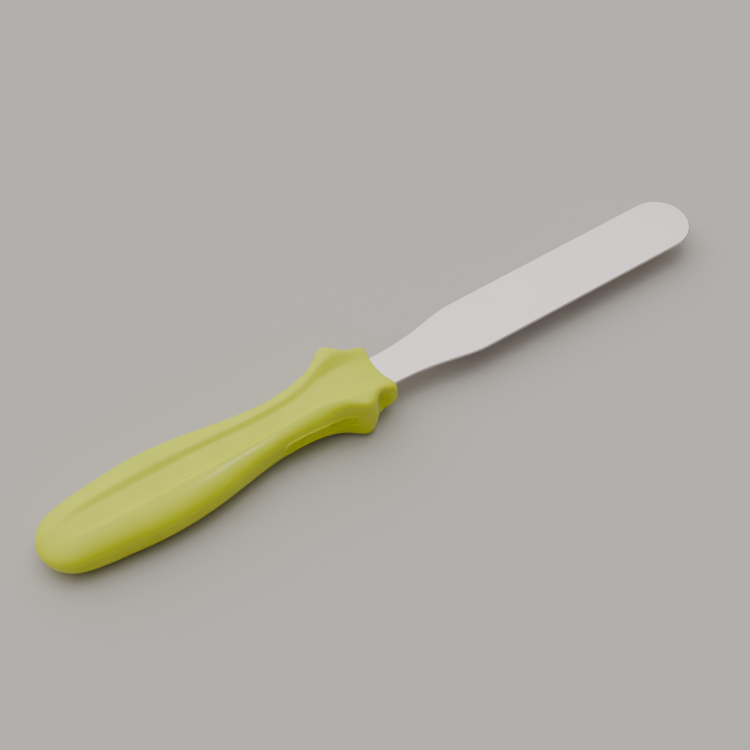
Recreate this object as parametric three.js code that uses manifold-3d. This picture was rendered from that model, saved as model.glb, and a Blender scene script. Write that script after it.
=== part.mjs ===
// A flexible palette-knife style spatula: a round-tipped spring-steel blade whose tang is moulded into
// a plastic handle with a finger guard. Millimetres, +X towards the blade's tip, +Z up, and the origin
// under the middle of the overall length, on the surface that the handle lies on.

import * as THREE from "three";
import { mergeVertices } from "three/addons/utils/BufferGeometryUtils.js";
import Module from "manifold-3d";

const wasm = await Module();
wasm.setup();

// Overall sizes. Lengths along the tool are counted from the butt of the handle.
const OVERALL_LENGTH = 216.7;
const HANDLE_LENGTH = 108.2; // butt to the front of the guard's horns
const TIP_RADIUS = 9.5; // half the blade's width, and the radius of its round tip
const SHEET = 0.8; // thickness of the steel
const MOUTH_HOLLOW = 1.3; // how far the guard's front face is dished back between the horns
const MOUTH_HOLLOW_HALF_WIDTH = 7.5;
const GUARD_HOLLOW_START = 98; // where the guard's rings begin to bend towards that hollow
const FRONT_EDGE_RADIUS = 0.9;

// The blade's outline behind its parallel part.
const SHOULDER_START = 138.7; // the blade is parallel from here to the tip's arc
const SHOULDER_BEND = 131.7;
const SHANK_BEND = 123.7;
const SHANK_HALF_WIDTH = 5.8;

// The tang, and the gap that the blade's flexing line leaves just outside the guard.
const FLEX_LINE = 110.4;
const FLEX_GAP = 0.3;
const TANG_NARROWING = [101, 92]; // from full shank width to the tang's own width
const TANG_END = 52;
const TANG_HALF_WIDTH = 4;
const KEY_HOLES = [61, 84]; // holes that the plastic flows through, which lock the tang in
const KEY_HOLE_RADIUS = 2.2;
const MOULD_GAP = 0.3; // between the steel and the plastic round it

// The handle's section along its length, as [distance from the butt, value].
const HALF_WIDTH = [
  [0, 16], [12, 11.7], [24, 12.3], [36, 13], [50, 11.8], [64, 9], [76, 7.8], [86, 8.6], [92, 10.05],
  [96.6, 12.8], [99.5, 11.2], [103, 9.1], [106, 9.35], [108.2, 9.1],
];
const HALF_THICKNESS = [
  [0, 6.3], [20, 6.4], [36, 6.35], [56, 5.7], [76, 5.15], [86, 6.3], [96.6, 6.95], [102.8, 5.45],
  [108.2, 3.5],
];
const CENTRE_HEIGHT = [[0, -1.9], [36, -1.1], [76, -0.4], [96.6, 0.28], [108.2, 0.1]]; // from the steel
const SQUARENESS = [[0, 2.4], [36, 2.5], [60, 2.8], [76, 3.2], [88, 4], [96.6, 8.5], [108.2, 4.4]];
const BUTT_ROUND_LENGTH = 17.6;
const BUTT_ROUND_POWER = 1.8;

// The long thumb hollow in the top and bottom faces: a flat floor between sloping walls.
const HOLLOW_DEPTH = [
  [0, 0], [6, 0.15], [14, 0.8], [30, 1.25], [60, 1.2], [76, 1.1], [90, 1.6], [96.6, 2.1], [103, 1.2],
  [108.2, 0.5],
];
const HOLLOW_HALF_WIDTH = [
  [0, 3.5], [14, 4.9], [36, 5.3], [60, 4.7], [76, 4.2], [86, 5.3], [96.6, 8.8], [108.2, 7.5],
];
const HOLLOW_FLOOR_SHARE = 0.42;

// The waist between the guard's lobes and horns, deepest at half height. Below 0 the side bulges.
const WAIST_DEPTH = [[94, 0], [97, 0], [99.5, -0.8], [102, 1.3], [105, 0.5], [108.2, 0]];

// How finely the handle is divided.
const RING_POINTS = 48;
const BUTT_RINGS = 9;
const GRIP_RINGS = 15;
const GUARD_START = 86;
const GUARD_RINGS = 27;
const FRONT_EDGE_STEPS = 3;
const FRONT_FACE_SHARES = [0.6, 0.3]; // the smaller sections that close the front face

// A smooth curve (a natural cubic spline) through [place, value] points, as a function of the place.
function curveThrough(points) {
  const last = points.length - 1;
  const bends = new Array(points.length).fill(0); // the curve's second derivative at each point
  const passed = new Array(points.length).fill(0);
  for (let i = 1; i < last; i++) {
    const before = points[i][0] - points[i - 1][0];
    const after = points[i + 1][0] - points[i][0];
    const slopeBefore = (points[i][1] - points[i - 1][1]) / before;
    const slopeAfter = (points[i + 1][1] - points[i][1]) / after;
    const weight = 2 * (before + after) - before * passed[i - 1];
    passed[i] = after / weight;
    bends[i] = (6 * (slopeAfter - slopeBefore) - before * bends[i - 1]) / weight;
  }
  for (let i = last - 1; i > 0; i--) {
    bends[i] -= passed[i] * bends[i + 1];
  }
  return (place) => {
    let i = 0;
    while (i < last - 1 && place > points[i + 1][0]) {
      i += 1;
    }
    const step = points[i + 1][0] - points[i][0];
    const t = THREE.MathUtils.clamp((place - points[i][0]) / step, 0, 1);
    const straight = points[i][1] * (1 - t) + points[i + 1][1] * t;
    const bendBefore = bends[i] * ((1 - t) ** 3 - (1 - t));
    const bendAfter = bends[i + 1] * (t ** 3 - t);
    return straight + ((bendBefore + bendAfter) * step * step) / 6;
  };
}

const halfWidth = curveThrough(HALF_WIDTH);
const halfThickness = curveThrough(HALF_THICKNESS);
const centreHeight = curveThrough(CENTRE_HEIGHT);
const squareness = curveThrough(SQUARENESS);
const hollowDepth = curveThrough(HOLLOW_DEPTH);
const hollowHalfWidth = curveThrough(HOLLOW_HALF_WIDTH);
const waistDepth = curveThrough(WAIST_DEPTH);

// 1 on the floor of the thumb hollow, falling smoothly to 0 at its rim.
function hollowShape(share) {
  return 1 - THREE.MathUtils.smoothstep(Math.abs(share), HOLLOW_FLOOR_SHARE, 1);
}

// 1 at half height, falling smoothly to 0 at a share of 1.
function waistShape(share) {
  return 0.5 + 0.5 * Math.cos(Math.PI * Math.min(Math.abs(share), 1));
}

// How much of its full section the handle has reached this far from the rounded butt.
function buttRounding(along) {
  const left = Math.max(1 - along / BUTT_ROUND_LENGTH, 0);
  return (1 - left ** BUTT_ROUND_POWER) ** (1 / BUTT_ROUND_POWER);
}

// How far back from a flat front the handle's surface lies at this width.
function frontHollow(across) {
  const share = Math.min(Math.abs(across) / MOUTH_HOLLOW_HALF_WIDTH, 1);
  return MOUTH_HOLLOW * (1 - share * share);
}

// One point of the handle's skin: a rounded-square section, hollowed above and below, with a waist in
// the guard's sides. Shrink below 1 gives the smaller sections that close the front face.
function handlePoint(along, angle, shrink = 1) {
  const round = buttRounding(along);
  const power = squareness(along);
  const across = Math.cos(angle);
  const up = Math.sin(angle);
  const reach = (Math.abs(across) ** power + Math.abs(up) ** power) ** (-1 / power);
  let y = halfWidth(along) * round * reach * across;
  let z = halfThickness(along) * round * reach * up;
  const onSide = THREE.MathUtils.smoothstep(Math.abs(across), 0.5, 0.75);
  const waist = waistDepth(along) * onSide * waistShape(z / halfThickness(along));
  z -= Math.sign(z) * hollowDepth(along) * round * hollowShape(y / (hollowHalfWidth(along) * round));
  y -= Math.sign(y) * waist;
  y *= shrink;
  z *= shrink;
  const bend = THREE.MathUtils.smoothstep(along, GUARD_HOLLOW_START, HANDLE_LENGTH);
  const x = along - bend * frontHollow(y);
  return [x, y, z + centreHeight(along)];
}

// The places along the handle where its rings lie: close together at the butt and at the guard.
function ringPlaces() {
  const places = [];
  for (let i = 1; i <= BUTT_RINGS; i++) {
    places.push(BUTT_ROUND_LENGTH * (1 - Math.cos((Math.PI / 2) * (i / BUTT_RINGS))));
  }
  for (let i = 1; i <= GRIP_RINGS; i++) {
    places.push(THREE.MathUtils.lerp(BUTT_ROUND_LENGTH, GUARD_START, i / GRIP_RINGS));
  }
  for (let i = 1; i <= GUARD_RINGS; i++) {
    places.push(THREE.MathUtils.lerp(GUARD_START, HANDLE_LENGTH - FRONT_EDGE_RADIUS, i / GUARD_RINGS));
  }
  return places;
}

// The handle's rings from butt to front, the last ones turning over the rounded front edge.
function handleRings() {
  const angles = Array.from({ length: RING_POINTS }, (_, i) => ((i + 0.5) / RING_POINTS) * 2 * Math.PI);
  const rings = ringPlaces().map((along) => angles.map((angle) => handlePoint(along, angle)));
  for (let i = 1; i <= FRONT_EDGE_STEPS; i++) {
    const turn = (Math.PI / 2) * (i / FRONT_EDGE_STEPS);
    const along = HANDLE_LENGTH - FRONT_EDGE_RADIUS * (1 - Math.sin(turn));
    const shrink = 1 - (FRONT_EDGE_RADIUS / halfWidth(HANDLE_LENGTH)) * (1 - Math.cos(turn));
    rings.push(angles.map((angle) => handlePoint(along, angle, shrink)));
  }
  for (const shrink of FRONT_FACE_SHARES) {
    rings.push(angles.map((angle) => handlePoint(HANDLE_LENGTH, angle, shrink)));
  }
  return rings;
}

// A closed skin over rings of equal size, with a point at each end.
function loft(rings, firstPoint, lastPoint) {
  const size = rings[0].length;
  const positions = [...rings.flat(), firstPoint, lastPoint].flat();
  const first = rings.length * size;
  const last = first + 1;
  const faces = [];
  for (let j = 0; j < size; j++) {
    const k = (j + 1) % size;
    faces.push(first, k, j);
    for (let i = 0; i + 1 < rings.length; i++) {
      const near = i * size;
      const far = near + size;
      faces.push(near + j, near + k, far + k, near + j, far + k, far + j);
    }
    const end = (rings.length - 1) * size;
    faces.push(end + j, end + k, last);
  }
  const geometry = new THREE.BufferGeometry();
  geometry.setAttribute("position", new THREE.Float32BufferAttribute(positions, 3));
  geometry.setIndex(faces);
  return geometry;
}

// A flat outline as a solid plate, its middle at the height of the steel.
function plate(shape, thickness, curveSegments = 16) {
  const geometry = new THREE.ExtrudeGeometry(shape, { depth: thickness, bevelEnabled: false, curveSegments });
  geometry.translate(0, 0, -thickness / 2);
  return geometry;
}

function solidOf(geometry) {
  const bare = geometry.clone();
  bare.deleteAttribute("normal");
  bare.deleteAttribute("uv");
  const merged = mergeVertices(bare, 1e-4);
  return new wasm.Manifold(new wasm.Mesh({
    numProp: 3,
    vertProperties: new Float32Array(merged.attributes.position.array),
    triVerts: new Uint32Array(merged.index.array),
  }));
}

function geometryOf(solid) {
  const mesh = solid.getMesh();
  const geometry = new THREE.BufferGeometry();
  geometry.setAttribute("position", new THREE.BufferAttribute(new Float32Array(mesh.vertProperties), 3));
  geometry.setIndex(new THREE.BufferAttribute(new Uint32Array(mesh.triVerts), 1));
  geometry.computeVertexNormals();
  return geometry;
}

function circlePath(x, radius) {
  return new THREE.Path().absarc(x, 0, radius, 0, 2 * Math.PI, true);
}

// The shank where it leaves the handle, narrowing to a tang with a round end. Grow widens it all
// round, which makes the pocket that it lies in.
function tangShape(front, grow) {
  const shank = SHANK_HALF_WIDTH + grow;
  const tang = TANG_HALF_WIDTH + grow;
  const [wide, narrow] = TANG_NARROWING;
  const roundStart = TANG_END + TANG_HALF_WIDTH;
  const middle = (wide + narrow) / 2;
  const shape = new THREE.Shape();
  shape.moveTo(front, -shank);
  shape.lineTo(front, shank);
  shape.lineTo(wide, shank);
  shape.bezierCurveTo(middle, shank, middle, tang, narrow, tang);
  shape.lineTo(roundStart, tang);
  shape.absarc(roundStart, 0, tang, Math.PI / 2, (3 * Math.PI) / 2, false);
  shape.lineTo(narrow, -tang);
  shape.bezierCurveTo(middle, -tang, middle, -shank, wide, -shank);
  shape.closePath();
  return shape;
}

function makeTang() {
  const shape = tangShape(FLEX_LINE - FLEX_GAP / 2, 0);
  for (const hole of KEY_HOLES) {
    shape.holes.push(circlePath(hole, KEY_HOLE_RADIUS));
  }
  return plate(shape, SHEET);
}

// The moulded handle, with the pocket that the tang fills. Plastic stands through the tang's holes.
function makeHandle() {
  const butt = [0, 0, centreHeight(0)];
  const front = [HANDLE_LENGTH - MOUTH_HOLLOW, 0, centreHeight(HANDLE_LENGTH)];
  const skin = solidOf(loft(handleRings(), butt, front));
  const pocketShape = tangShape(HANDLE_LENGTH + MOUTH_HOLLOW, MOULD_GAP);
  for (const hole of KEY_HOLES) {
    pocketShape.holes.push(circlePath(hole, KEY_HOLE_RADIUS - MOULD_GAP));
  }
  const pocket = solidOf(plate(pocketShape, SHEET + 2 * MOULD_GAP));
  return geometryOf(skin.subtract(pocket));
}

// The blade: a long parallel leaf with a half-round tip, drawn in by S-shaped shoulders to the shank.
function makeBlade() {
  const start = FLEX_LINE + FLEX_GAP / 2;
  const tipCentre = OVERALL_LENGTH - TIP_RADIUS;
  const shape = new THREE.Shape();
  shape.moveTo(start, -SHANK_HALF_WIDTH);
  shape.bezierCurveTo(SHANK_BEND, -SHANK_HALF_WIDTH, SHOULDER_BEND, -TIP_RADIUS, SHOULDER_START, -TIP_RADIUS);
  shape.lineTo(tipCentre, -TIP_RADIUS);
  shape.absarc(tipCentre, 0, TIP_RADIUS, -Math.PI / 2, Math.PI / 2, false);
  shape.lineTo(SHOULDER_START, TIP_RADIUS);
  shape.bezierCurveTo(SHOULDER_BEND, TIP_RADIUS, SHANK_BEND, SHANK_HALF_WIDTH, start, SHANK_HALF_WIDTH);
  shape.closePath();
  return plate(shape, SHEET, 20);
}

const plastic = new THREE.MeshStandardMaterial({ color: 0xd2d63c, roughness: 0.28, metalness: 0 });
const steel = new THREE.MeshStandardMaterial({ color: 0xd8d0d0, roughness: 0.35, metalness: 1 });

function namedMesh(name, geometry, material) {
  const mesh = new THREE.Mesh(geometry, material);
  mesh.name = name;
  return mesh;
}

const handle = namedMesh("handle", makeHandle(), plastic);
const tang = namedMesh("tang", makeTang(), steel.clone());
const blade = namedMesh("blade", makeBlade(), steel.clone());

// The steel's height above the surface that the handle lies on is the depth of the handle below it.
handle.geometry.computeBoundingBox();
const group = new THREE.Group();
group.position.set(-OVERALL_LENGTH / 2, 0, -handle.geometry.boundingBox.min.z);
group.add(handle, tang, blade);

export default group;
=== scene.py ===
"""A flexible spatula knife: a fine handle and a fine blade with its tang, for the plain CAD solids.

The tool's sizes are in millimetres. Places along it are counted from the butt of the handle, and
heights from the middle of the steel, as in the CAD model. in_row_frame turns them into metres.
The studio and the materials are in metres.
"""

import math

import bpy
import numpy as np
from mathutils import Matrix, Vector


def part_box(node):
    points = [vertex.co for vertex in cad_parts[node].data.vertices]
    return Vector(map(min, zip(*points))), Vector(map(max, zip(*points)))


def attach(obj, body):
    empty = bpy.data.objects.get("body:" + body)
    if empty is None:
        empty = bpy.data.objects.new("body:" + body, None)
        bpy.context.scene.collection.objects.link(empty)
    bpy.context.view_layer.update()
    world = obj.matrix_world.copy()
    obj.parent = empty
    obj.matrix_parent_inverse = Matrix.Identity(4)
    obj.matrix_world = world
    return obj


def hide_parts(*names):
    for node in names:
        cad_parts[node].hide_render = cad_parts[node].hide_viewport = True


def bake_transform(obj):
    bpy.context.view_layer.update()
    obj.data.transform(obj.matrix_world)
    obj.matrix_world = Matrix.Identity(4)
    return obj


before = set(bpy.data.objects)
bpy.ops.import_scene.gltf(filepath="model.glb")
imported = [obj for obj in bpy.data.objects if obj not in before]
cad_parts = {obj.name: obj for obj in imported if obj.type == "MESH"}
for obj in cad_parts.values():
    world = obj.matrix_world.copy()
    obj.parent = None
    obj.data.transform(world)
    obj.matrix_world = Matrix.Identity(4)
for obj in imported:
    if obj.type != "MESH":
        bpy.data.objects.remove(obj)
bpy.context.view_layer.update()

MM = 0.001

# Where the row frame has the butt of the handle and the middle of the steel.
BUTT_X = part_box("handle")[0].x
STEEL_Z = (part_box("blade")[0].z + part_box("blade")[1].z) / 2

# The handle's sizes, as in the CAD model. The lists are (place, value) along its length.
HANDLE_LENGTH = 108.2
MOUTH_HOLLOW = 1.3  # how far the front face is dished back between the guard's horns
MOUTH_HOLLOW_HALF_WIDTH = 7.5
GUARD_HOLLOW_START = 98  # where the rings of the skin begin to bend towards that hollow
FRONT_EDGE_RADIUS = 0.9
BUTT_ROUND_LENGTH = 17.6
BUTT_ROUND_POWER = 1.8
HALF_WIDTH = [
    (0, 16), (12, 11.7), (24, 12.3), (36, 13), (50, 11.8), (64, 9), (76, 7.8), (86, 8.6), (92, 10.05),
    (96.6, 12.8), (99.5, 11.2), (103, 9.1), (106, 9.35), (108.2, 9.1),
]
HALF_THICKNESS = [
    (0, 6.3), (20, 6.4), (36, 6.35), (56, 5.7), (76, 5.15), (86, 6.3), (96.6, 6.95), (102.8, 5.45),
    (108.2, 3.5),
]
CENTRE_HEIGHT = [(0, -1.9), (36, -1.1), (76, -0.4), (96.6, 0.28), (108.2, 0.1)]
SQUARENESS = [(0, 2.4), (36, 2.5), (60, 2.8), (76, 3.2), (88, 4), (96.6, 8.5), (108.2, 4.4)]
HOLLOW_DEPTH = [
    (0, 0), (6, 0.15), (14, 0.8), (30, 1.25), (60, 1.2), (76, 1.1), (90, 1.6), (96.6, 2.1), (103, 1.2),
    (108.2, 0.5),
]
HOLLOW_HALF_WIDTH = [
    (0, 3.5), (14, 4.9), (36, 5.3), (60, 4.7), (76, 4.2), (86, 5.3), (96.6, 8.8), (108.2, 7.5),
]
HOLLOW_FLOOR_SHARE = 0.42
WAIST_DEPTH = [(94, 0), (97, 0), (99.5, -0.8), (102, 1.3), (105, 0.5), (108.2, 0)]

# The shares of a section's width, from its middle, at which its sides begin and are in full.
# The waist and the finger pads are on the sides only.
SIDE_START = 0.5
SIDE_FULL = 0.75

# The ribbed finger pad on each side of the neck: a rounded rim round short upright ribs.
PAD_START = 71.3
PAD_END = 94.2
PAD_HALF_HEIGHT = 1.75
PAD_RIM_HALF_WIDTH = 0.45
PAD_RIM_HEIGHT = 0.5
PAD_SINK = 0.15
RIB_COUNT = 7
RIB_START = 75
RIB_PITCH = 2.85
RIB_HALF_WIDTH = 0.6
RIB_HALF_LENGTH = 1.15
RIB_HEIGHT = 0.75
RIB_END_POWER = 0.5  # below 1 keeps a rib tall nearly to its ends

# The steel's sizes, as in the CAD model.
OVERALL_LENGTH = 216.7
SHEET = 0.8
TIP_RADIUS = 9.5
SHOULDER_START = 138.7
SHOULDER_BEND = 131.7
SHANK_BEND = 123.7
SHANK_END = 110.55
SHANK_HALF_WIDTH = 5.8
TANG_NARROWING = (92, 101)
TANG_END = 52
TANG_HALF_WIDTH = 4

# Finer than the CAD model: the steel's rounded edges, and the plastic's close fit round the steel.
EDGE_RADIUS = 0.22
MOULD_FIT = 0.02
MOUTH_LIP_RADIUS = 0.3
MOUTH_TO_SLOT = 1  # how far behind the mouth the first ring of the slot lies

# How finely the handle is divided: how far apart its rings lie from each place on, and the number
# of rings in each of its rounded parts.
RING_POINTS = 240
RING_SPACING = [(BUTT_ROUND_LENGTH, 0.8), (70, 0.15), (95.4, 0.3), (HANDLE_LENGTH - FRONT_EDGE_RADIUS, 0)]
BUTT_RINGS = 36
FRONT_EDGE_RINGS = 8
FRONT_FACE_RINGS = 8
LIP_RINGS = 5
SLOT_RINGS = 40
SLOT_END_RINGS = 8
SLOT_SQUARENESS = 16

# How finely the steel's outline and its rounded edges are divided.
TANG_ROUND_POINTS = 14
TANG_POINTS = 70
SHOULDER_POINTS = 40
LEAF_POINTS = 80
TIP_POINTS = 40
EDGE_LEVELS = 6

# The colours of the materials. Each of the first two pairs is mixed by faint clouding.
PLASTIC_COLOURS = (0.70, 0.78, 0.003), (0.75, 0.83, 0.005)
STEEL_COLOURS = (0.75, 0.665, 0.655), (0.81, 0.725, 0.715)
FLOOR_COLOUR = (0.54, 0.5, 0.46)
NOISE_MIDDLE = (0.3, 0.7)  # where nearly all of a noise's values lie

# The studio: a wide flat floor, a dome of light that is brightest high up behind the tool and dark
# on the near side, and a small softbox overhead for the glints on the handle's ridges.
FLOOR_REACH = 3.0
DOME_TOWARDS = (0, 0.5, 0.866)
DOME_FALL_OFF = 2
DOME_DARK = 0.08
DOME_BRIGHT = 2.3
SOFTBOX_PLACE = (0.369, 0.076, 0.927)
SOFTBOX_WIDTH = 0.12
SOFTBOX_POWER = 0.55

# The photograph's view, with its angles in degrees.
CAMERA_ELEVATION = 49.7
CAMERA_HEADING = 34.8  # turned from +Y towards +X
CAMERA_DISTANCE = 0.6464
CAMERA_AIM_X = -0.0018
CAMERA_LENS = 111.9
CAMERA_NEAR_LIMIT = 0.01


def curve_through(points):
    """A smooth curve (a natural cubic spline) through (place, value) points, as a function of place."""
    place, value = np.array(points, float).T
    steps = np.diff(place)
    slopes = np.diff(value) / steps
    size = len(place)
    matrix = np.eye(size)
    change = np.zeros(size)
    for i in range(1, size - 1):
        matrix[i, i - 1 : i + 2] = steps[i - 1], 2 * (steps[i - 1] + steps[i]), steps[i]
        change[i] = 6 * (slopes[i] - slopes[i - 1])
    bends = np.linalg.solve(matrix, change)

    def at(along):
        i = np.clip(np.searchsorted(place, along) - 1, 0, size - 2)
        t = np.clip((along - place[i]) / steps[i], 0, 1)
        straight = value[i] * (1 - t) + value[i + 1] * t
        bent = bends[i] * ((1 - t) ** 3 - (1 - t)) + bends[i + 1] * (t**3 - t)
        return straight + bent * steps[i] ** 2 / 6

    return at


half_width = curve_through(HALF_WIDTH)
half_thickness = curve_through(HALF_THICKNESS)
centre_height = curve_through(CENTRE_HEIGHT)
squareness = curve_through(SQUARENESS)
hollow_depth = curve_through(HOLLOW_DEPTH)
hollow_half_width = curve_through(HOLLOW_HALF_WIDTH)
waist_depth = curve_through(WAIST_DEPTH)


def smoothstep(value, low, high):
    """0 up to low, 1 from high on, and a smooth rise between them."""
    t = np.clip((value - low) / (high - low), 0, 1)
    return t * t * (3 - 2 * t)


def bump(distance, half_width_of_bump):
    """1 at distance 0, falling smoothly to 0 at half_width_of_bump."""
    return 0.5 + 0.5 * np.cos(np.pi * np.clip(np.abs(distance) / half_width_of_bump, 0, 1))


def pad_relief(along, height):
    """How far the finger pad stands out of the handle's side. Height is from the section's middle."""
    middle = (PAD_START + PAD_END) / 2
    half_run = (PAD_END - PAD_START) / 2 - PAD_HALF_HEIGHT
    past_end = np.maximum(np.abs(along - middle) - half_run, 0)
    from_edge = PAD_HALF_HEIGHT - np.hypot(past_end, height)
    relief = PAD_RIM_HEIGHT * bump(from_edge, PAD_RIM_HALF_WIDTH)
    relief = relief - PAD_SINK * smoothstep(from_edge, 0, 2 * PAD_RIM_HALF_WIDTH)
    for i in range(RIB_COUNT):
        across_rib = bump(along - RIB_START - i * RIB_PITCH, RIB_HALF_WIDTH)
        along_rib = bump(height, RIB_HALF_LENGTH) ** RIB_END_POWER
        relief = relief + RIB_HEIGHT * across_rib * along_rib
    return relief


ANGLES = (np.arange(RING_POINTS) + 0.5) / RING_POINTS * 2 * np.pi
ACROSS = np.cos(ANGLES)
UP = np.sin(ANGLES)


def rounded_square(power):
    """A section between a circle (power 2) and a square (a high power), one unit each way."""
    reach = (np.abs(ACROSS) ** power + np.abs(UP) ** power) ** (-1 / power)
    return reach * ACROSS, reach * UP


def handle_ring(along, shrink=1.0):
    """A ring of the handle's skin. Shrink below 1 turns it inwards over the front edge."""
    left = max(1 - along / BUTT_ROUND_LENGTH, 0)
    rounding = (1 - left**BUTT_ROUND_POWER) ** (1 / BUTT_ROUND_POWER)
    across, up = rounded_square(squareness(along))
    y = half_width(along) * rounding * across
    z = half_thickness(along) * rounding * up
    side = np.sign(y) * smoothstep(np.abs(ACROSS), SIDE_START, SIDE_FULL)
    waist = waist_depth(along) * bump(z, half_thickness(along))
    relief = pad_relief(along, z)
    past_floor = smoothstep(np.abs(y) / (hollow_half_width(along) * rounding), HOLLOW_FLOOR_SHARE, 1)
    z = z - np.sign(z) * hollow_depth(along) * rounding * (1 - past_floor)
    y = y + side * (relief - waist)
    y = y * shrink
    z = z * shrink
    x = along - smoothstep(along, GUARD_HOLLOW_START, HANDLE_LENGTH) * front_hollow(y)
    return np.stack([x, y, z + centre_height(along)], axis=1)


def front_hollow(across):
    """How far back from a flat front the handle's surface lies at this width."""
    return MOUTH_HOLLOW * (1 - np.minimum(np.abs(across) / MOUTH_HOLLOW_HALF_WIDTH, 1) ** 2)


def slot_ring(along, half_slot_width, half_slot_height):
    """A ring of the slot that the steel fills."""
    across, up = rounded_square(SLOT_SQUARENESS)
    x = np.full(across.shape, float(along))
    return np.stack([x, half_slot_width * across, half_slot_height * up], axis=1)


def steel_half_width(along):
    """Half the width of the steel inside the handle."""
    narrow, wide = TANG_NARROWING
    straight = TANG_HALF_WIDTH + (SHANK_HALF_WIDTH - TANG_HALF_WIDTH) * smoothstep(along, narrow, wide)
    round_start = TANG_END + TANG_HALF_WIDTH
    behind = np.clip((round_start - along) / TANG_HALF_WIDTH, 0, 1)
    return straight * np.sqrt(1 - behind**2)


def quarter_turn(steps):
    """Angles in equal steps to a quarter turn, without the angle 0."""
    return np.linspace(0, np.pi / 2, steps + 1)[1:]


def on_front_face(ring, sunk=0.0):
    """The ring moved along the tool on to the dished front face, or this far behind it."""
    ring[:, 0] = HANDLE_LENGTH - front_hollow(ring[:, 1]) - sunk
    return ring


def handle_rings():
    """Every ring of the handle: the skin from butt to front, the front face, and the slot inside."""
    places = list(BUTT_ROUND_LENGTH * (1 - np.cos(quarter_turn(BUTT_RINGS))))
    for (start, spacing), (end, _) in zip(RING_SPACING, RING_SPACING[1:]):
        count = math.ceil((end - start) / spacing)
        places += list(np.linspace(start, end, count + 1)[1:])
    rings = [handle_ring(along) for along in places]

    edge_share = FRONT_EDGE_RADIUS / float(half_width(HANDLE_LENGTH))
    for turn in quarter_turn(FRONT_EDGE_RINGS):
        along = HANDLE_LENGTH - FRONT_EDGE_RADIUS * (1 - math.sin(turn))
        rings.append(handle_ring(along, 1 - edge_share * (1 - math.cos(turn))))

    face_rim = rings[-1]
    lip_width = SHANK_HALF_WIDTH + MOULD_FIT + MOUTH_LIP_RADIUS
    lip_height = SHEET / 2 + MOULD_FIT + MOUTH_LIP_RADIUS
    lip = slot_ring(HANDLE_LENGTH, lip_width, lip_height)
    for share in np.linspace(0, 1, FRONT_FACE_RINGS + 1)[1:]:
        rings.append(on_front_face(face_rim * (1 - share) + lip * share))
    for turn in quarter_turn(LIP_RINGS):
        inwards = MOUTH_LIP_RADIUS * math.sin(turn)
        ring = slot_ring(HANDLE_LENGTH, lip_width - inwards, lip_height - inwards)
        rings.append(on_front_face(ring, sunk=MOUTH_LIP_RADIUS * (1 - math.cos(turn))))
    slot_start = HANDLE_LENGTH - MOUTH_HOLLOW - MOUTH_TO_SLOT
    slot_places = list(np.linspace(slot_start, TANG_END + TANG_HALF_WIDTH, SLOT_RINGS))
    slot_end_turns = quarter_turn(SLOT_END_RINGS + 1)[:-1]
    slot_places += list(TANG_END + TANG_HALF_WIDTH * (1 - np.sin(slot_end_turns)))
    for along in slot_places:
        width = float(steel_half_width(along)) + MOULD_FIT
        rings.append(slot_ring(along, width, SHEET / 2 + MOULD_FIT))
    return rings


def in_row_frame(points):
    """Points from the butt and the middle of the steel, in millimetres, as metres in the row frame."""
    return np.asarray(points, float) * MM + np.array([BUTT_X, 0, STEEL_Z])


def mesh_object(name, points, faces):
    """A smoothly shaded object in the scene, from points in millimetres."""
    mesh = bpy.data.meshes.new(name)
    mesh.from_pydata(in_row_frame(points).tolist(), [], faces)
    mesh.validate()
    mesh.polygons.foreach_set("use_smooth", [True] * len(mesh.polygons))
    mesh.update()
    piece = bpy.data.objects.new(name, mesh)
    bpy.context.scene.collection.objects.link(piece)
    return piece


def loft(name, rings, first, last):
    """A closed mesh over rings of equal size, with a point at each end."""
    size = len(rings[0])
    points = np.concatenate(rings + [np.array([first, last], float)])
    first_index = len(rings) * size
    faces = []
    for j in range(size):
        k = (j + 1) % size
        faces.append((first_index, k, j))
        for i in range(len(rings) - 1):
            near = i * size
            far = near + size
            faces.append((near + j, near + k, far + k, far + j))
        end = (len(rings) - 1) * size
        faces.append((end + j, end + k, first_index + 1))
    return mesh_object(name, points, faces)


def bezier(start, bend_a, bend_b, end, count):
    """Points along a cubic Bezier curve."""
    t = np.linspace(0, 1, count)[:, None]
    corners = [np.array(p, float) for p in (start, bend_a, bend_b, end)]
    weights = [(1 - t) ** 3, 3 * t * (1 - t) ** 2, 3 * t**2 * (1 - t), t**3]
    return sum(w * p for w, p in zip(weights, corners))


def steel_outline():
    """One side of the steel's outline, from the tang's end to the tip, as (along, half width)."""
    arc = np.linspace(0, np.pi / 2, TANG_ROUND_POINTS)
    tang_round = np.stack([TANG_HALF_WIDTH * (1 - np.cos(arc)), TANG_HALF_WIDTH * np.sin(arc)], 1)
    tang_round[:, 0] += TANG_END
    inside = np.linspace(TANG_END + TANG_HALF_WIDTH, SHANK_END, TANG_POINTS)[1:-1]
    tang = np.stack([inside, steel_half_width(inside)], 1)
    shoulder = bezier(
        (SHANK_END, SHANK_HALF_WIDTH),
        (SHANK_BEND, SHANK_HALF_WIDTH),
        (SHOULDER_BEND, TIP_RADIUS),
        (SHOULDER_START, TIP_RADIUS),
        SHOULDER_POINTS,
    )
    tip_centre = OVERALL_LENGTH - TIP_RADIUS
    leaf = np.linspace(SHOULDER_START, tip_centre, LEAF_POINTS)[1:-1]
    straight = np.stack([leaf, np.full(len(leaf), float(TIP_RADIUS))], 1)
    arc = np.linspace(np.pi / 2, 0, TIP_POINTS)
    tip = np.stack([tip_centre + TIP_RADIUS * np.cos(arc), TIP_RADIUS * np.sin(arc)], 1)
    outline = np.concatenate([tang_round, tang, shoulder, straight, tip])
    outline[0, 1] = 0
    outline[-1, 1] = 0
    return outline


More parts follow.
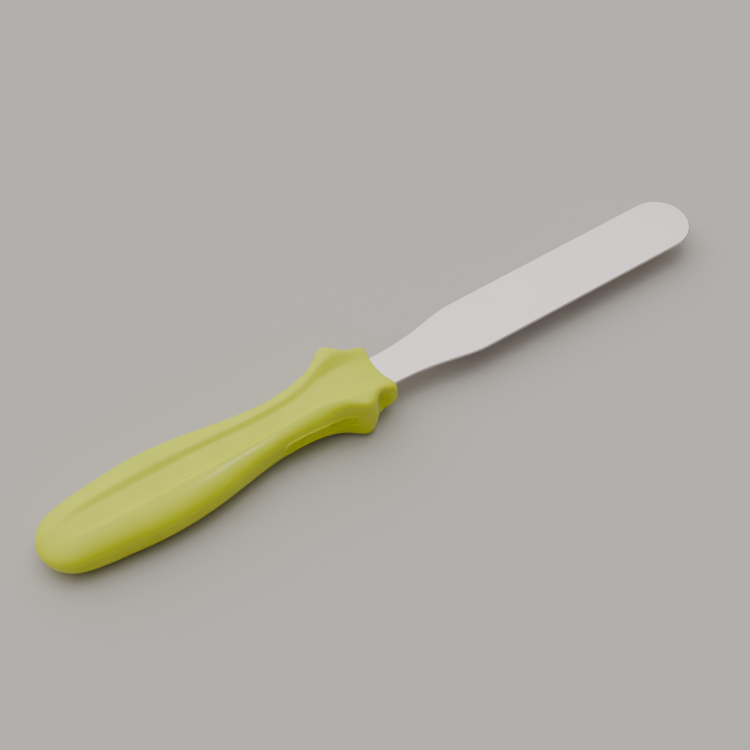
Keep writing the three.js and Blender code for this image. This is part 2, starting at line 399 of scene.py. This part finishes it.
def steel_edge_levels():
    """(distance in from the outline, height) down the sheet's rounded edge, from top face to underside."""
    upper = []
    for turn in np.linspace(0, np.pi / 2, EDGE_LEVELS):
        inwards = EDGE_RADIUS * (1 - math.sin(turn))
        height = SHEET / 2 - EDGE_RADIUS * (1 - math.cos(turn))
        upper.append((inwards, height))
    lower = [(inwards, -height) for inwards, height in reversed(upper)]
    return upper + lower


def inward_directions(side):
    """The direction into the sheet at each point of one side of its outline."""
    direction = np.gradient(side, axis=0)
    direction[0] = (0, 1)
    direction[-1] = (0, -1)
    direction /= np.linalg.norm(direction, axis=1)[:, None]
    return np.stack([direction[:, 1], -direction[:, 0]], 1)


def steel_loop(side, inwards, depth, height):
    """The whole outline of the steel, moved in by this depth, at this height."""
    moved = side + inwards * depth
    moved[0, 1] = 0
    moved[-1, 1] = 0
    other_side = moved[-2:0:-1] * np.array([1, -1])
    loop = np.concatenate([moved, other_side])
    return np.column_stack([loop, np.full(len(loop), height)])


def make_steel():
    """Blade and tang as the one stamping that they are: sheet with rounded edges all round."""
    side = steel_outline()
    inwards = inward_directions(side)
    loops = [steel_loop(side, inwards, depth, height) for depth, height in steel_edge_levels()]
    size = len(loops[0])
    faces = []
    for level in range(len(loops) - 1):
        above = level * size
        below = above + size
        for i in range(size):
            j = (i + 1) % size
            faces.append((above + j, above + i, below + i, below + j))

    # The top face and the underside are strips across the sheet, from one side to the other.
    flat_faces_from = len(faces)
    underside = (len(loops) - 1) * size
    for i in range(len(side) - 1):
        corners = [i, i + 1, size - i - 1, (size - i) % size]
        strip = list(dict.fromkeys(corners))  # the strips at the two ends have three corners
        faces.append(tuple(reversed(strip)))
        faces.append(tuple(underside + corner for corner in strip))
    piece = mesh_object("blade_and_tang", np.concatenate(loops), faces)
    for face in piece.data.polygons[flat_faces_from:]:
        face.use_smooth = False
    return piece


class Nodes:
    """The nodes of a material or a world, with short calls to add and join them."""

    def __init__(self, owner):
        owner.use_nodes = True
        self.tree = owner.node_tree
        self.coordinates = self.add("ShaderNodeTexCoord").outputs

    def add(self, kind, **settings):
        node = self.tree.nodes.new(kind)
        for key, value in settings.items():
            setattr(node, key, value)
        return node

    def join(self, source, target):
        self.tree.links.new(source, target)

    def noise(self, scale, stretch=(1, 1, 1), detail=3.0):
        """Noise with this many features to the metre, drawn out by stretch.

        It is laid out in object space, so the same detail shows from every side.
        """
        mapping = self.add("ShaderNodeMapping")
        mapping.inputs["Scale"].default_value = [scale / s for s in stretch]
        self.join(self.coordinates["Object"], mapping.inputs["Vector"])
        node = self.add("ShaderNodeTexNoise")
        node.inputs["Scale"].default_value = 1
        node.inputs["Detail"].default_value = detail
        self.join(mapping.outputs["Vector"], node.inputs["Vector"])
        return node.outputs["Fac"]

    def spread(self, value, low, high, values_from=NOISE_MIDDLE):
        """The value, spread from the range values_from over low to high."""
        node = self.add("ShaderNodeMapRange")
        node.inputs["From Min"].default_value, node.inputs["From Max"].default_value = values_from
        node.inputs["To Min"].default_value = low
        node.inputs["To Max"].default_value = high
        self.join(value, node.inputs["Value"])
        return node.outputs["Result"]

    def mix(self, share, first, second):
        """A colour between two colours."""
        node = self.add("ShaderNodeMix", data_type="RGBA")
        colours = [s for s in node.inputs if s.type == "RGBA"]
        colours[0].default_value = (*first, 1)
        colours[1].default_value = (*second, 1)
        self.join(share, node.inputs["Factor"])
        return next(s for s in node.outputs if s.type == "RGBA")

    def total(self, first, second):
        node = self.add("ShaderNodeMath", operation="ADD")
        self.join(first, node.inputs[0])
        self.join(second, node.inputs[1])
        return node.outputs[0]

    def with_number(self, operation, value, number):
        """The value put through a named operation with a fixed number."""
        node = self.add("ShaderNodeMath", operation=operation)
        self.join(value, node.inputs[0])
        node.inputs[1].default_value = number
        return node.outputs[0]

    def bump(self, height, distance, under=None):
        """Relief this deep, in metres, laid over the relief under it."""
        node = self.add("ShaderNodeBump")
        node.inputs["Distance"].default_value = distance
        self.join(height, node.inputs["Height"])
        if under is not None:
            self.join(under, node.inputs["Normal"])
        return node.outputs["Normal"]


def new_material(name):
    """A material, its nodes and its shader."""
    material = bpy.data.materials.new(name)
    nodes = Nodes(material)
    return material, nodes, nodes.tree.nodes["Principled BSDF"]


def plastic_material():
    """Glossy moulded plastic: even colour with faint clouding, a slight ripple and hair scratches."""
    material, nodes, shader = new_material("yellow_green_plastic")
    clouding = nodes.spread(nodes.noise(90), 0, 1)
    nodes.join(nodes.mix(clouding, *PLASTIC_COLOURS), shader.inputs["Base Color"])
    scuffs = nodes.noise(700, stretch=(3, 1, 1), detail=5)
    nodes.join(nodes.spread(scuffs, 0.16, 0.22), shader.inputs["Roughness"])
    ripple = nodes.bump(nodes.noise(220, detail=2), 0.000012)
    scratches = nodes.bump(nodes.noise(2600, stretch=(8, 1, 1), detail=2), 0.0000012, under=ripple)
    nodes.join(scratches, shader.inputs["Normal"])
    shader.inputs["IOR"].default_value = 1.49
    shader.inputs["Specular IOR Level"].default_value = 0.4
    shader.inputs["Subsurface Weight"].default_value = 0.3
    shader.inputs["Subsurface Radius"].default_value = (1.0, 0.6, 0.1)
    shader.inputs["Subsurface Scale"].default_value = 0.003
    return material


def steel_material():
    """Satin stainless steel: fine grinding lines along the blade, with faint smears."""
    material, nodes, shader = new_material("satin_steel")
    shader.inputs["Metallic"].default_value = 1
    smears = nodes.noise(55, stretch=(1.6, 1, 1), detail=4)
    nodes.join(nodes.mix(nodes.spread(smears, 0, 1), *STEEL_COLOURS), shader.inputs["Base Color"])
    lines = nodes.noise(5200, stretch=(60, 1, 1), detail=4)
    roughness = nodes.total(nodes.spread(lines, -0.04, 0.04), nodes.spread(smears, 0.34, 0.42))
    nodes.join(roughness, shader.inputs["Roughness"])
    nodes.join(nodes.bump(lines, 0.000006), shader.inputs["Normal"])
    return material


def floor_material():
    material, _, shader = new_material("pale_floor")
    shader.inputs["Base Color"].default_value = (*FLOOR_COLOUR, 1)
    shader.inputs["Roughness"].default_value = 0.7
    return material


def make_handle():
    """The handle, one moulding from its butt to the slot round the steel."""
    butt = (0, 0, float(centre_height(0)))
    slot_end = (TANG_END - MOULD_FIT, 0, 0)
    piece = loft("handle_moulding", handle_rings(), butt, slot_end)
    piece.data.materials.append(plastic_material())
    return piece


def put_facing(thing, place, direction):
    """Links a camera or a light into the scene at this place, looking in this direction."""
    thing.location = place
    thing.rotation_mode = "QUATERNION"
    thing.rotation_quaternion = direction.to_track_quat("-Z", "Y")
    bpy.context.scene.collection.objects.link(thing)


def make_floor():
    """A plain pale floor under the tool, reaching well past the view."""
    corners = [(x * FLOOR_REACH, y * FLOOR_REACH, 0) for x, y in ((-1, -1), (1, -1), (1, 1), (-1, 1))]
    mesh = bpy.data.meshes.new("floor")
    mesh.from_pydata(corners, [], [(0, 1, 2, 3)])
    floor = bpy.data.objects.new("floor", mesh)
    floor.data.materials.append(floor_material())
    bpy.context.scene.collection.objects.link(floor)


def make_softbox():
    """A small square light overhead, turned to the middle of the tool."""
    light = bpy.data.lights.new("softbox", "AREA")
    light.shape = "SQUARE"
    light.size = SOFTBOX_WIDTH
    light.energy = SOFTBOX_POWER
    place = Vector(SOFTBOX_PLACE)
    put_facing(bpy.data.objects.new("softbox", light), place, -place)


def make_dome():
    """The world's light: it fades smoothly from the brightest direction to the near side."""
    world = bpy.data.worlds.new("studio")
    nodes = Nodes(world)
    towards_light = nodes.add("ShaderNodeVectorMath", operation="DOT_PRODUCT")
    towards_light.inputs[1].default_value = DOME_TOWARDS
    nodes.join(nodes.coordinates["Generated"], towards_light.inputs[0])
    in_front = nodes.with_number("MAXIMUM", towards_light.outputs["Value"], 0)
    share = nodes.with_number("POWER", in_front, DOME_FALL_OFF)
    radiance = nodes.spread(share, DOME_DARK, DOME_BRIGHT, values_from=(0, 1))
    background = nodes.tree.nodes["Background"]
    nodes.join(radiance, background.inputs["Strength"])
    background.inputs["Color"].default_value = (1, 1, 1, 1)
    bpy.context.scene.world = world


def make_camera():
    """The photograph's view: from the near side, looking down at the middle of the tool."""
    elevation = math.radians(CAMERA_ELEVATION)
    heading = math.radians(CAMERA_HEADING)
    direction = Vector((
        math.sin(heading) * math.cos(elevation),
        math.cos(heading) * math.cos(elevation),
        -math.sin(elevation),
    ))
    data = bpy.data.cameras.new("camera")
    data.lens = CAMERA_LENS
    data.clip_start = CAMERA_NEAR_LIMIT
    camera = bpy.data.objects.new("camera", data)
    aim = Vector((CAMERA_AIM_X, 0, STEEL_Z))
    put_facing(camera, aim - direction * CAMERA_DISTANCE, direction)
    bpy.context.scene.camera = camera


make_camera()
make_floor()
make_softbox()
make_dome()

handle = make_handle()
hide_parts("handle")
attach(handle, "handle_body")

steel = make_steel()
steel.data.materials.append(steel_material())
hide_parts("blade", "tang")
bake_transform(steel)
